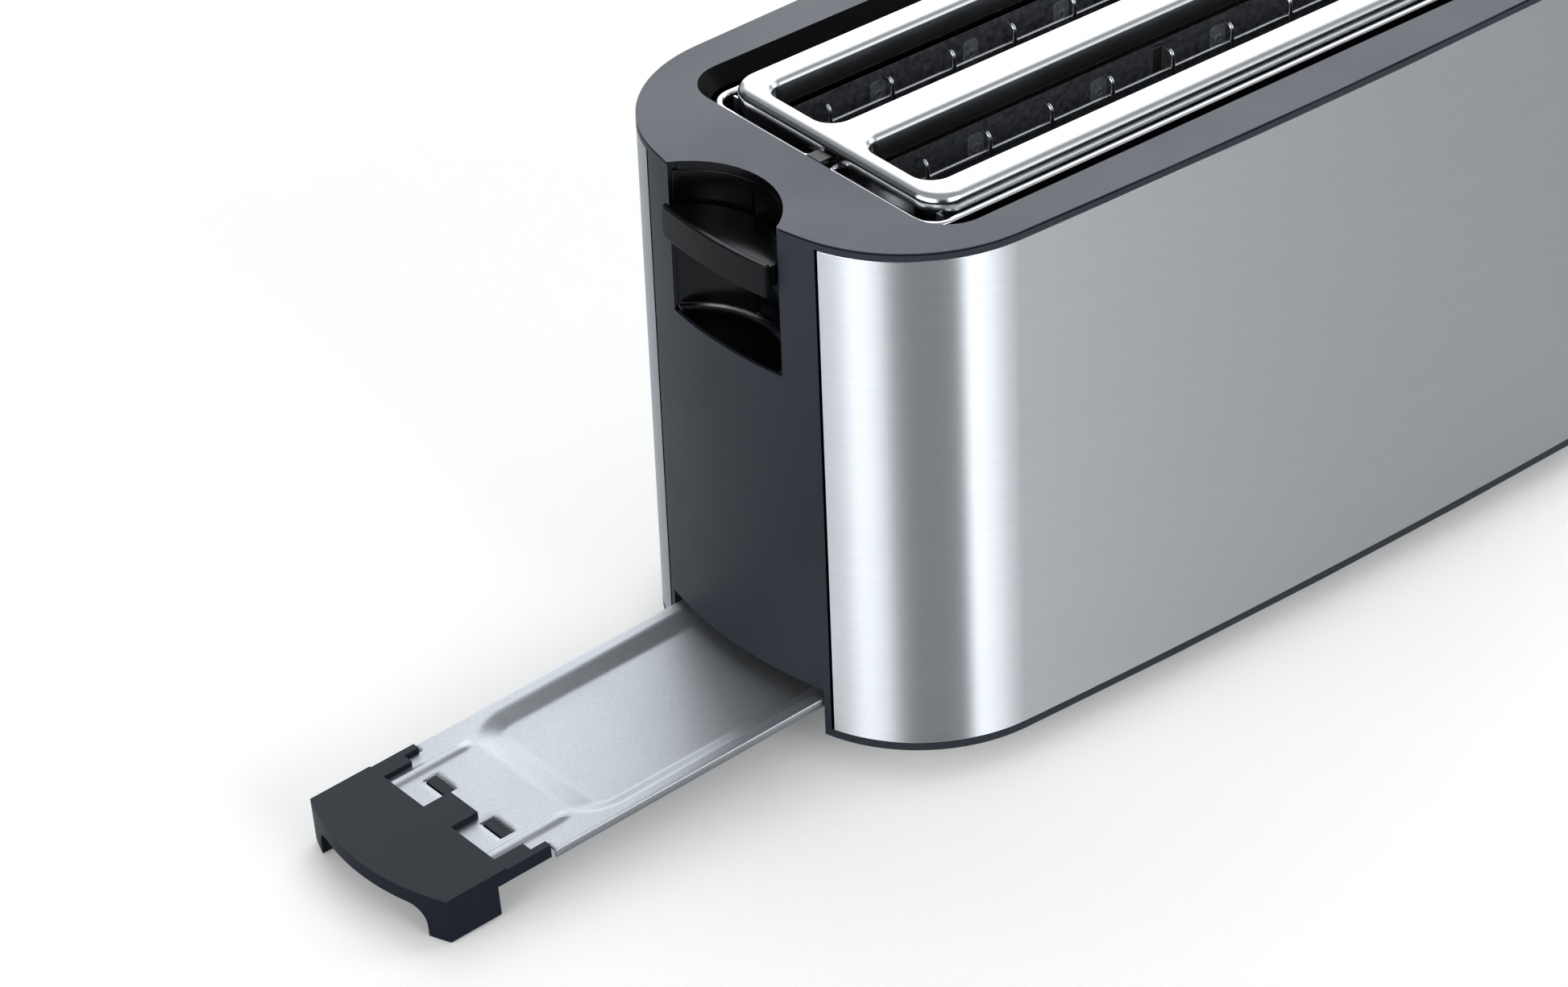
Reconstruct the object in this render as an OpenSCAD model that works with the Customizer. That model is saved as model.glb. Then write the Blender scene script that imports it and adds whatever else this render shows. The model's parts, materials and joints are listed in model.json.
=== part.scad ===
// Two-slot long pop-up toaster with steel side panels, a crumb tray and a fold-up bun rack.
// Origin: middle of the body on the standing plane. +X towards the lever end, -Y is the
// control side, +Z up. Millimetres.

/* [Body] */
// Length between the two crowned ends
body_length = 380; // [370:1:400]
// Width across the crowned long sides
body_width = 170; // [166:1:180]
// Height of the top cover above the standing plane
body_height = 203.1; // [200:0.1:215]
// Height of the rubber feet
foot_height = 10; // [8:0.5:12]
// Wall thickness of the plastic housing
wall = 3; // [2.5:0.5:3.5]
// Radius of the vertical corners
corner_r = 56; // [50:1:60]
// Radius of the crowned ends
end_r = 165; // [150:5:180]
// Radius of the slightly crowned long sides
side_r = 3350; // [3000:50:4000]

/* [Steel panels] */
// Sheet thickness
steel = 0.8; // [0.6:0.1:1]
// Distance of the vertical seams from the middle plane
seam_y = 42.7; // [40:0.1:44]
// Open gap between a seam and the panel's edge
seam_gap = 1.1; // [0.3:0.1:1.5]
// Height of the panel's lower edge
panel_low = 12.7; // [12.5:0.1:14]
// Height of the panel's upper edge
panel_high = 200; // [198:0.5:200]

/* [Bread slots] */
// Length of a slot
slot_length = 271; // [260:1:271]
// Clear width of a slot
slot_width = 34; // [30:1:34]
// Distance of a slot's centre line from the middle plane
slot_y = 25; // [25:1:26]
// Depth of the rolled flange around a slot
slot_flange = 10; // [8:1:12]

/* [Lever] */
// Travel of the lever and the bread racks
lever_travel = 28; // [24:1:28]
// Height of the lever's top edge when it is up
lever_top = 189.5; // [188:0.5:189.5]
// Height of the lever's front face
lever_face = 12; // [10:1:12]
// Height of the recess floor
recess_floor = 146.8; // [144:0.1:146.8]
// Radius of the round lever recess
recess_r = 32.2; // [31:0.1:33]

/* [Crumb tray] */
// Width of the tray
tray_width = 77.8; // [76:0.1:77.8]
// How far the tray is pulled out
tray_out = 155; // [150:1:155]
// Slope of the tray, down towards its handle
tray_tilt = 3.2; // [3:0.1:3.2]
// Depth of the pressed crumb pan
pan_depth = 3; // [2.5:0.5:4]

/* [Controls] */
// Diameter of the browning dial
dial_d = 34; // [30:1:36]
// Diameter of a push button
button_d = 13; // [11:0.5:14]
// Height of the dial and button centres
control_z = 50; // [48:1:52]

/* [Bun rack] */
// Wire diameter
rack_wire = 2.8; // [2.6:0.1:2.8]
// Height of the folded wire's centre
rack_z = 198; // [197.5:0.1:198]

/* [Hidden] */
$fn = 48;
eps = 0.01;
half_len = body_length / 2;
half_wid = body_width / 2;

// Body outline: crowned ends and sides joined by tangent corner arcs.
side_cy = half_wid - side_r;
end_cx = half_len - end_r;
arc_gap = norm([end_cx, side_cy]);
end_in = end_r - corner_r;
side_in = side_r - corner_r;
arc_along = (end_in * end_in - side_in * side_in + arc_gap * arc_gap) / (2 * arc_gap);
arc_up = sqrt(end_in * end_in - arc_along * arc_along);
corner_x = end_cx - (arc_along * end_cx + arc_up * side_cy) / arc_gap;
corner_y = (arc_along * side_cy - arc_up * end_cx) / arc_gap;

// Heights of the stacked covers
rim_top = body_height - 0.9;
cover_low = body_height - 3.1;
plate_top = body_height + 2.3;
plate_low = plate_top - 5.4;
frame_z = 188.5;
base_z = foot_height + 1;
base_t = 1.5;
base_top = base_z + base_t;

// Slot plate and cover opening, as half sizes and corner radii
plate_half = [143, 54, 11];
open_top = [151.5, 67.3, 15];
open_low = [149.8, 61.4, 13];

// Toasting chamber
wall_x = 139.2;
chassis_t = 0.8;
chamber_y = 52;
chamber_low = 40;
heater_low = 62;
heater_high = 188;
heater_len = 268;
heater_t = 0.5;
outer_heater_y = 46;
inner_heater_y = 3.4;
holder_outer_y = 44.8;
holder_inner_y = 4.6;
ribbon_pitch = 9;

// Guide cages: wire grids that lean in on the bread
cage_wire = 1.6;
cage_pivot_d = 2;
cage_pivot_z = 60;
cage_high = 189;
cage_in_y = 9.5;
cage_out_y = 40.5;
cage_pitch = 27.3;
cage_count = 9;
rail_over = 15;
fit_gap = 0.05;
outer_tabs = [for (k = [-2 : 2]) 2.7 + k * 41.2];
inner_tabs = [for (k = [-3 : 2 : 3]) 2.5 + k * cage_pitch];

// Carriage, guide rod and racks
rod_x = 156;
rod_d = 5;
rod_low = 59;
rod_high = 192.5;
sleeve_low = 120;
sleeve_high = 190;
spring_low = 62;
tongue_z = lever_top - 6.5;
carriage_x = 147;
blade_z = 84;
blade_h = 8;
blade_t = 1.2;
crossbar_count = 9;

// Lever recess and lever
recess_cx = half_len + 13.4;
recess_wall = 1.2;
recess_lip = 1.2;
lever_r = 190;
lever_front = half_len + 3.8;
lever_half = 26.7;

// Crumb tray frame: its origin is where the tray's top plane passes the end seam
seam_x = half_len - 4.5;
tray_z = 23.45;
tray_t = 1;
tray_half = tray_width / 2;
tray_rear = -165;
pan_front = 97;
pan_half = 35;
pan_slope = 8;
grip_rear = 131;
grip_front = 8.2 + tray_out;
grip_half = 37.6;
grip_r = 95;
grip_rise = 2.6;
arm_end = 112;

// Controls on the -Y side
dial_x = 108;
button_x = [36, 58, 80];
bezel_x = [22, 128];
bezel_half_h = 21;
board_y = -73.6;
board_t = 1.6;

// Bun rack
rack_half_y = 56.5;
rack_end_x = 147.4;
rack_corner = 8;
rack_pivot_y = 5.5;

foot_x = 135;
foot_y = 58;
boss_x = 165;
boss_y = 45;
gland_z = 32;
gland_bore = 7;

black_plastic = [0.13, 0.14, 0.15];
dark_plastic = [0.05, 0.05, 0.055];
brushed = [0.72, 0.73, 0.74];
polished = [0.85, 0.85, 0.86];
zinc = [0.66, 0.68, 0.70];
mica = [0.62, 0.56, 0.44];
rubber = [0.08, 0.08, 0.08];

// ---------- shared shapes ----------

module sector(r, half_angle) {
  reach = 2 * r;
  intersection() {
    circle(r, $fn = 720);
    polygon([[0, 0], [reach, -reach * tan(half_angle)], [reach, reach * tan(half_angle)]]);
  }
}

// Plan outline of the body, moved inwards by inset
module outline(inset = 0) {
  end_angle = atan2(corner_y, corner_x - end_cx);
  side_angle = atan2(corner_x, corner_y - side_cy);
  square([2 * corner_x, 2 * corner_y], center = true);
  for (s = [0, 180]) {
    rotate(s) translate([end_cx, 0]) sector(end_r - inset, end_angle);
    rotate(s) intersection() {
      translate([0, side_cy]) rotate(90) sector(side_r - inset, side_angle);
      translate([-half_len, 0]) square([body_length, body_width]);
    }
  }
  for (sx = [-1, 1], sy = [-1, 1])
    translate([sx * corner_x, sy * corner_y]) circle(corner_r - inset, $fn = 180);
}

module layer(z0, z1) {
  translate([0, 0, z0]) linear_extrude(z1 - z0) children();
}

// Wall that follows the outline between two insets
module shell(z0, z1, outer, inner) {
  layer(z0, z1) difference() {
    outline(outer);
    outline(inner);
  }
}

// The part of such a wall beyond y_min on one long side: side is 1 or -1
module side_shell(side, z0, z1, outer, inner, y_min) {
  intersection() {
    shell(z0, z1, outer, inner);
    translate([-half_len - 5, side > 0 ? y_min : -y_min - body_width, z0 - 1])
      cube([body_length + 10, body_width, z1 - z0 + 2]);
  }
}

// Rounded rectangle from [half length, half width, corner radius]
module round_rect(half, grow = 0) {
  r = half[2] + grow;
  for (s = [0, 1])
    square([2 * (half[0] + grow - s * r), 2 * (half[1] + grow - (1 - s) * r)], center = true);
  for (sx = [-1, 1], sy = [-1, 1])
    translate([sx * (half[0] - half[2]), sy * (half[1] - half[2])]) circle(r);
}

module ring_rect(half, grow_out, grow_in) {
  difference() {
    round_rect(half, grow_out);
    round_rect(half, grow_in);
  }
}

module box(low, high) {
  translate(low) cube(high - low);
}

// Straight rods along one axis
module rod_x(p, length, d) {
  translate(p) rotate([0, 90, 0]) cylinder(h = length, d = d);
}

module rod_y(p, length, d) {
  translate(p) rotate([-90, 0, 0]) cylinder(h = length, d = d);
}

module rod_z(p, length, d) {
  translate(p) cylinder(h = length, d = d);
}

module stadium(x0, x1, half_h) {
  translate([x0 + half_h, -half_h]) square([x1 - x0 - 2 * half_h, 2 * half_h]);
  for (x = [x0 + half_h, x1 - half_h]) translate([x, 0]) circle(half_h);
}

// A shape drawn in X and Z, extruded along Y between two planes
module along_y(y0, y1, z) {
  translate([0, y0, z]) rotate([-90, 0, 0]) mirror([0, 1, 0]) linear_extrude(y1 - y0) children();
}

// Places its children in the sloping frame of the crumb tray
module in_tray() {
  translate([seam_x, 0, tray_z]) rotate([0, tray_tilt, 0]) children();
}

// ---------- casing ----------

module lever_cut(z0, z1, r) {
  rod_z([recess_cx, 0, z0], z1 - z0, 2 * r);
}

module screw_boss(sx, sy) {
  boss_top = 60;
  translate([sx * boss_x, sy * boss_y, base_top + 0.1]) {
    cylinder(h = boss_top - base_top, d = 9);
    rotate(atan2(sy * (boss_y - corner_y), sx * (boss_x - corner_x)))
      translate([3, -1, 0]) cube([12.5, 2, boss_top - base_top - 3]);
  }
}

module housing() {
  notch_top = tray_z + 4.5;
  color(black_plastic) difference() {
    union() {
      shell(foot_height, rim_top, 0, wall);
      for (sx = [-1, 1], sy = [-1, 1]) screw_boss(sx, sy);
    }
    for (side = [-1, 1]) {
      side_shell(side, panel_low, panel_high, -1, steel + 0.1, seam_y);
      side_shell(side, panel_low + 9, panel_high - 9, -1, wall + 1, seam_y + 9);
    }
    for (y = [-seam_y - seam_gap, seam_y]) intersection() {
      shell(panel_low, panel_high, -1, steel + 0.8);
      box([-half_len - 5, y, 0], [half_len + 5, y + seam_gap, body_height]);
    }
    for (sx = [-1, 1], sy = [-1, 1])
      rod_z([sx * boss_x, sy * boss_y, foot_height], 30, 3.1);
    intersection() {
      lever_cut(recess_floor - recess_wall - 0.1, rim_top + 1, recess_r + recess_wall + 0.1);
      layer(recess_floor - 5, rim_top + 2) outline(recess_lip);
    }
    lever_cut(recess_floor, rim_top + 1, recess_r);
    box([half_len - 20, -tray_half - 1.2, foot_height - 1], [half_len + 5, tray_half + 1.2, notch_top]);
    rod_x([-half_len - 5, 0, gland_z], 12, 10.2);
  }
}

module top_cover() {
  bevel_low = 193;
  color(black_plastic) difference() {
    union() {
      shell(rim_top + 0.5, body_height, 0, 2);
      shell(rim_top, body_height, 1, 4);
      layer(cover_low, body_height) outline(wall + 0.3);
      layer(bevel_low, body_height) round_rect(open_top, 2);
    }
    hull() {
      layer(body_height, body_height + eps) round_rect(open_top, $fn = 32);
      layer(body_height - 5, body_height - 5 + eps) round_rect(open_low, $fn = 32);
    }
    layer(bevel_low - 1, body_height - 4.9) round_rect(open_low);
    lever_cut(cover_low - 1, body_height + 1, recess_r);
  }
}

module control_window(grow) {
  along_y(-half_wid - 5, -60, control_z)
    stadium(bezel_x[0] - grow, bezel_x[1] + grow, bezel_half_h + grow);
}

module front_steel_panel() {
  color(brushed) difference() {
    side_shell(-1, panel_low + 0.15, panel_high - 0.15, 0, steel, seam_y + seam_gap);
    control_window(-2);
  }
}

module rear_steel_panel() {
  color(brushed) side_shell(1, panel_low + 0.15, panel_high - 0.15, 0, steel, seam_y + seam_gap);
}

module slot_hole(side) {
  translate([0, side * slot_y]) round_rect([slot_length / 2, slot_width / 2, 7]);
}

module slot_plate() {
  color(polished) {
    layer(plate_top - 1, plate_top) difference() {
      round_rect(plate_half);
      for (side = [-1, 1]) slot_hole(side);
    }
    layer(plate_low, plate_top - 1) ring_rect(plate_half, 0, -0.8);
    for (side = [-1, 1])
      layer(plate_top - slot_flange, plate_top - 1) translate([0, side * slot_y])
        ring_rect([slot_length / 2, slot_width / 2, 7], 0.8, 0);
  }
}

module base_plate() {
  vent_count = 12;
  color(zinc) difference() {
    layer(base_z, base_top) outline(wall + 0.2);
    box([163, -tray_half - 1.2, 0], [half_len + 5, tray_half + 1.2, base_top + 1]);
    for (i = [0 : vent_count - 1], sy = [-1, 1])
      translate([-110 + i * 20, sy * 62, base_z - 1]) layer(0, 5) round_rect([2, 10, 1.9]);
    for (sx = [-1, 1], sy = [-1, 1])
      rod_z([sx * boss_x, sy * boss_y, 0], 30, 3.4);
  }
}

module feet() {
  color(rubber) for (sx = [-1, 1], sy = [-1, 1]) translate([sx * foot_x, sy * foot_y, 0]) {
    cylinder(h = base_z, d = 18);
  }
}

module base_screws() {
  color(zinc) for (sx = [-1, 1], sy = [-1, 1]) translate([sx * boss_x, sy * boss_y, 0]) {
    translate([0, 0, base_z - 2]) cylinder(h = 2, d = 6.5);
    translate([0, 0, base_z - 0.5]) cylinder(h = 22, d = 3);
  }
}

// Half section of the recess liner: a cup with a rounded inner corner
module liner_section() {
  corner = 3;
  difference() {
    translate([0, recess_floor - recess_wall])
      square([recess_r + recess_wall, cover_low - 0.2 - recess_floor + recess_wall]);
    translate([-1, recess_floor]) square([recess_r - corner + 1, cover_low]);
    translate([-1, recess_floor + corner]) square([recess_r + 1, cover_low]);
    translate([recess_r - corner, recess_floor + corner]) circle(corner);
  }
}

module lever_recess() {
  stem_half = 4.5;
  slot_top = cover_low - 4;
  color(dark_plastic) difference() {
    intersection() {
      translate([recess_cx, 0, 0]) rotate_extrude($fn = 180) liner_section();
      layer(recess_floor - 5, cover_low) outline(recess_lip + 0.1);
    }
    box([recess_cx - 45, -stem_half, recess_floor + 3], [recess_cx - 20, stem_half, slot_top]);
  }
}

// ---------- toasting chamber ----------

module top_frame() {
  color(dark_plastic) layer(frame_z, frame_z + chassis_t) difference() {
    round_rect([150, 62, 10]);
    square([2 * (wall_x + chassis_t + 0.1), 2 * (chamber_y + 1)], center = true);
  }
}

// Holes that an end wall needs for the cage pivots and the bread racks
module end_wall_holes(x) {
  blade_gap = 1;
  for (y = [-cage_out_y, -cage_in_y, cage_in_y, cage_out_y])
    rod_x([x - 1, y, cage_pivot_z], 3, cage_pivot_d + 2 * fit_gap);
  for (side = [-1, 1])
    box([x - 1, side * slot_y - blade_t / 2 - blade_gap, blade_z - lever_travel - 2],
        [x + 2, side * slot_y + blade_t / 2 + blade_gap, blade_z + blade_h + 2]);
}

module end_wall(x) {
  leg_y = 46;
  difference() {
    union() {
      box([x, -chamber_y - 1, chamber_low], [x + chassis_t, chamber_y + 1, plate_low - 1]);
      box([x, -47, plate_low - 2], [x + chassis_t, 47, plate_top - 1.1]);
      for (m = [0, 1]) mirror([0, m, 0])
        box([x, leg_y, base_top], [x + chassis_t, chamber_y + 1, chamber_low + 1]);
    }
    end_wall_holes(x);
  }
}

module rod_shelf(z) {
  shelf_t = 1.5;
  difference() {
    box([wall_x + chassis_t - eps, -8, z], [rod_x + 7, 8, z + shelf_t]);
    rod_z([rod_x, 0, z - 1], shelf_t + 2, rod_d + 2 * fit_gap);
  }
}

module end_wall_lever() {
  color(zinc) {
    end_wall(wall_x);
    rod_shelf(rod_low + 1);
    rod_shelf(rod_high - 2);
  }
}

module end_wall_far() {
  color(zinc) end_wall(-wall_x - chassis_t);
}

module reflector(side) {
  color(zinc) box([-wall_x + 0.1, side > 0 ? chamber_y : -chamber_y - 0.6, 50],
                  [wall_x - 0.1, side > 0 ? chamber_y + 0.6 : -chamber_y, frame_z + 6]);
}

module reflector_front() { reflector(-1); }

module reflector_rear() { reflector(1); }

module heater_board(y) {
  color(mica) box([-heater_len / 2, y - heater_t / 2, heater_low],
                  [heater_len / 2, y + heater_t / 2, heater_high]);
}

// Flat resistance ribbon: level runs across the board, facing the bread
module heater_ribbon(y, face) {
  ribbon_t = 0.3;
  ribbon_h = 1.6;
  y0 = y + face * (heater_t / 2 + ribbon_t / 2 + 0.01);
  color([0.45, 0.40, 0.36]) for (z = [heater_low + 7 : ribbon_pitch : heater_high - 6])
    box([-heater_len / 2 + 6, y0 - ribbon_t / 2, z], [heater_len / 2 - 6, y0 + ribbon_t / 2, z + ribbon_h]);
}

// Black strip that holds a board's top edge, with pressed tabs and eyelets facing the bread
module board_holder(y, face, tabs) {
  low = 172;
  high = 191;
  tab_half = 3.3;
  tab_rise = 0.75;
  tab_cut = 1.2;
  eyelet_rise = 1.1;
  eyelet_z = 182;
  tab_low = -4.2;
  tab_high = 5.2;
  color(dark_plastic) difference() {
    union() {
      box([-wall_x, y - 0.2, low], [wall_x, y + 0.2, high]);
      for (x = tabs) {
        along_y(min(y, y + face * tab_rise), max(y, y + face * tab_rise), eyelet_z)
          polygon([[x - tab_half, tab_low], [x + tab_half, tab_low], [x + tab_half, tab_high - tab_cut],
                   [x + tab_half - tab_cut, tab_high], [x - tab_half + tab_cut, tab_high],
                   [x - tab_half, tab_high - tab_cut]]);
        rod_y([x, min(y, y + face * eyelet_rise), eyelet_z], eyelet_rise, 3.4);
      }
    }
    for (x = tabs) rod_y([x, face > 0 ? y + 0.4 : y - eyelet_rise - 0.1, eyelet_z], eyelet_rise - 0.3, 1.8);
    if (abs(y) < 10) box([0.6, y - 1, 178], [4.7, y + 1, 189.8]);
  }
}

module holder_front_outer() { board_holder(-holder_outer_y, 1, outer_tabs); }

module holder_front_inner() { board_holder(-holder_inner_y, -1, inner_tabs); }

module holder_rear_inner() { board_holder(holder_inner_y, 1, inner_tabs); }

module holder_rear_outer() { board_holder(holder_outer_y, -1, outer_tabs); }

module heater_front_outer() { heater_board(-outer_heater_y); }

module heater_front_inner() { heater_board(-inner_heater_y); }

module heater_rear_inner() { heater_board(inner_heater_y); }

module heater_rear_outer() { heater_board(outer_heater_y); }

module ribbon_front_outer() { heater_ribbon(-outer_heater_y, 1); }

module ribbon_front_inner() { heater_ribbon(-inner_heater_y, -1); }

module ribbon_rear_inner() { heater_ribbon(inner_heater_y, 1); }

module ribbon_rear_outer() { heater_ribbon(outer_heater_y, -1); }

// One wire grid; its bent tops point towards the heater it protects, at out = 1 or -1
module cage(y, out) {
  bend = 3.5;
  weld = 1.1;
  first_x = -cage_pitch * (cage_count - 1) / 2;
  color(zinc) {
    rod_x([-wall_x - 2, y, cage_pivot_z], 2 * wall_x + 4, cage_pivot_d);
    for (z = [112, 181.5])
      rod_x([first_x - rail_over, y + out * weld, z], 2 * (rail_over - first_x), cage_wire);
    for (i = [0 : cage_count - 1]) {
      x = first_x + i * cage_pitch;
      rod_z([x, y, cage_pivot_z], cage_high - cage_pivot_z, cage_wire);
      rod_y([x, out > 0 ? y : y - bend, cage_high - cage_wire / 2], bend, cage_wire - 0.1);
    }
  }
}

module cage_front_outer() { cage(-cage_out_y, -1); }

module cage_front_inner() { cage(-cage_in_y, 1); }

module cage_rear_inner() { cage(cage_in_y, -1); }

module cage_rear_outer() { cage(cage_out_y, 1); }

// Screen between the hot chamber and the control board
module heat_shield() {
  screen_y = -59.6;
  foot_w = 8;
  color(zinc) {
    box([15, screen_y, base_top], [130, screen_y + 0.6, 88]);
    box([15, screen_y - foot_w, base_top], [120, screen_y + 0.1, base_top + 0.8]);
  }
}

// ---------- lift mechanism ----------

module guide_rod() {
  color(polished) rod_z([rod_x, 0, rod_low], rod_high - rod_low, rod_d);
}

// Ring of points around a coil at angle a
function coil_ring(a, z, r, wire_r, sides) = [
  for (i = [0 : sides - 1])
    let (b = 360 * i / sides, d = r + wire_r * cos(b)) [d * cos(a), d * sin(a), z + wire_r * sin(b)]];

// Helical spring as one closed polyhedron standing on z = 0
module coil(height, turns, r, wire_r, sides = 8, steps = 18) {
  rings = turns * steps;
  rise = height - 2 * wire_r;
  points = [for (k = [0 : rings])
    each coil_ring(360 * k / steps, wire_r + rise * k / rings, r, wire_r, sides)];
  faces = [
    for (k = [0 : rings - 1], i = [0 : sides - 1])
      let (j = (i + 1) % sides, a = k * sides, b = a + sides) [a + i, a + j, b + j, b + i],
    [for (i = [sides - 1 : -1 : 0]) i],
    [for (i = [0 : sides - 1]) rings * sides + i]];
  polyhedron(points, faces);
}

module return_spring() {
  color(polished) translate([rod_x, 0, spring_low + 0.1])
    coil(sleeve_low - spring_low - 0.2, 9, 4.3, 0.6);
}

module carriage() {
  plate_high = 130;
  color(zinc) difference() {
    union() {
      rod_z([rod_x, 0, sleeve_low], sleeve_high - sleeve_low, 9.5);
      box([carriage_x, -32, blade_z], [carriage_x + 1.2, 32, plate_high]);
      box([carriage_x + 1, -3, sleeve_low], [rod_x, 3, plate_high]);
      box([rod_x + 3, -1, tongue_z - 3], [half_len - 6, 1, tongue_z + 3]);
    }
    rod_z([rod_x, 0, sleeve_low - 1], sleeve_high - sleeve_low + 2, rod_d + 2 * fit_gap);
    box([carriage_x - 1, -9, blade_z - 1], [carriage_x + 3, 9, blade_z + 8]);
  }
}

module armature() {
  color(polished) box([carriage_x + 1.2, -22, blade_z], [carriage_x + 12, -8, blade_z + 2]);
}

module solenoid() {
  core = [carriage_x + 6.5, -15];
  core_top = blade_z - lever_travel - 0.3;
  color([0.45, 0.22, 0.12]) {
    rod_z([core[0], core[1], 36], 15, 13);
    rod_z([core[0], core[1], 34], core_top - 34, 6);
    box([wall_x + chassis_t, -22, 34], [core[0] + 7, -8, 36]);
    box([wall_x + chassis_t, -22, 34], [wall_x + chassis_t + 1, -8, 52]);
  }
}

module bread_rack(side) {
  span = 2 * 125;
  color(zinc) {
    box([-wall_x - 5, side * slot_y - blade_t / 2, blade_z],
        [carriage_x, side * slot_y + blade_t / 2, blade_z + blade_h]);
    for (i = [0 : crossbar_count - 1])
      translate([-span / 2 + i * span / (crossbar_count - 1), 0, 0])
        box([-1, side * slot_y - 10, blade_z + blade_h - 2], [1, side * slot_y + 10, blade_z + blade_h]);
  }
}

module bread_rack_front() { bread_rack(-1); }

module bread_rack_rear() { bread_rack(1); }

module lever_knob() {
  shelf_low = lever_top - 9;
  tongue_gap = 0.1;
  color(black_plastic) difference() {
    union() {
      intersection() {
        layer(lever_top - lever_face, lever_top) translate([lever_front - lever_r, 0]) difference() {
          circle(lever_r, $fn = 360);
          circle(lever_r - 2.2, $fn = 360);
        }
        box([half_len - 10, -lever_half, lever_top - 20], [half_len + 10, lever_half, lever_top + 1]);
      }
      intersection() {
        layer(shelf_low, lever_top - 1.5) intersection() {
          translate([recess_cx, 0]) circle(recess_r - 1.2, $fn = 180);
          translate([lever_front - lever_r, 0]) circle(lever_r - 1.2, $fn = 360);
        }
        box([0, -lever_half + 0.5, 0], [half_len + 10, lever_half - 0.5, 300]);
      }
      box([rod_x + 10, -3.4, shelf_low], [recess_cx - recess_r + 3, 3.4, lever_top - 2.5]);
    }
    box([rod_x + 9, -1 - tongue_gap, tongue_z - 3 - tongue_gap],
        [half_len - 5.5, 1 + tongue_gap, tongue_z + 3 + tongue_gap]);
  }
}

// ---------- crumb tray ----------

// Solid bounded by a rectangle at the rim and a smaller one at the floor
module pan_solid(shrink, drop) {
  low_front = pan_front - pan_slope - shrink;
  low_half = pan_half - pan_slope - shrink;
  rear = tray_rear + 8 + shrink;
  hull() {
    translate([(rear + pan_front - shrink) / 2, 0, -0.01])
      linear_extrude(0.02 + (shrink > 0 ? 1 : 0))
        round_rect([(pan_front - shrink - rear) / 2, pan_half - shrink, 11], $fn = 32);
    translate([(rear + pan_slope + low_front) / 2, 0, drop])
      linear_extrude(0.01) round_rect([(low_front - rear - pan_slope) / 2, low_half, 6], $fn = 32);
  }
}

module crumb_tray() {
  bead_r = 4;
  bead_deep = bead_r - 1;
  hem = 3;
  color(zinc) in_tray() difference() {
    union() {
      box([tray_rear, -tray_half, -tray_t], [arm_end, tray_half, 0]);
      box([arm_end - 1, -grip_half + 3, -tray_t], [150, grip_half - 3, 0]);
      pan_solid(0, -pan_depth);
      for (sy = [-1, 1]) {
        intersection() {
          union() {
            rod_x([pan_front + 5, sy * 26.5, -bead_deep], grip_rear - pan_front - 6, 2 * bead_r);
            translate([pan_front + 5, sy * 26.5, -bead_deep]) sphere(bead_r);
          }
          box([pan_front, -tray_half, -0.5], [grip_rear, tray_half, 2]);
        }
        box([tray_rear, sy > 0 ? tray_half - 0.8 : -tray_half, -hem],
            [arm_end, sy > 0 ? tray_half : -tray_half + 0.8, 0]);
      }
    }
    pan_solid(1, -pan_depth + 1);
    for (sy = [-1, 1])
      box([115.5, sy > 0 ? 10 : -21.5, -3], [121.5, sy > 0 ? 21.5 : -10, 3]);
  }
}

module grip_outline(inset) {
  intersection() {
    translate([grip_front - grip_r, 0]) circle(grip_r - inset, $fn = 240);
    translate([0, -grip_half + inset]) square([300, 2 * (grip_half - inset)]);
  }
}

module tray_handle() {
  post_depth = 20;
  post_low = -14.2;
  post_width = 8;
  arch_r = 7;
  lip = 3;
  side = 2.6;
  top_gap = 0.05;
  color(black_plastic) in_tray() {
    // top plate with a front lip and side skirts
    intersection() {
      layer(top_gap, grip_rise) grip_outline(0);
      box([grip_rear, -50, 0], [300, 50, 10]);
    }
    intersection() {
      layer(-lip, top_gap + eps) difference() {
        grip_outline(0);
        grip_outline(side);
      }
      box([arm_end + 6, -50, -20], [300, 50, 10]);
    }
    // arms along the tray edges, stepped at their ends
    for (m = [0, 1]) mirror([0, m, 0]) {
      box([arm_end + 7, 30.5, top_gap], [grip_rear + 1, grip_half, grip_rise - 0.6]);
      box([arm_end + 1, 34.8, -lip], [arm_end + 8, grip_half, grip_rise - 0.6]);
    }
    // posts that stand on the table, joined to the lip by round arch corners
    for (m = [0, 1]) mirror([0, m, 0]) {
      intersection() {
        layer(post_low, -lip + eps) grip_outline(0);
        box([tray_out - post_depth, grip_half - post_width, -20], [300, grip_half, 0]);
      }
      difference() {
        intersection() {
          layer(-lip - arch_r, -lip + eps) difference() {
            grip_outline(0);
            grip_outline(side);
          }
          box([grip_rear, grip_half - post_width - arch_r, -20], [300, grip_half - post_width + eps, 0]);
        }
        rod_x([grip_rear, grip_half - post_width - arch_r, -lip - arch_r], 60, 2 * arch_r);
      }
      // clip that snaps up into its window in the tray
      box([116, 10.6, -2.4], [120.5, 20.9, -0.3]);
      box([116, 10.6, -3.4], [grip_front - 4, 20.9, -1.2]);
    }
    // tongue that lies on the tray between the clips
    box([grip_rear - 11, -7.5, top_gap], [grip_rear + 1, 7.5, grip_rise]);
  }
}

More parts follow.
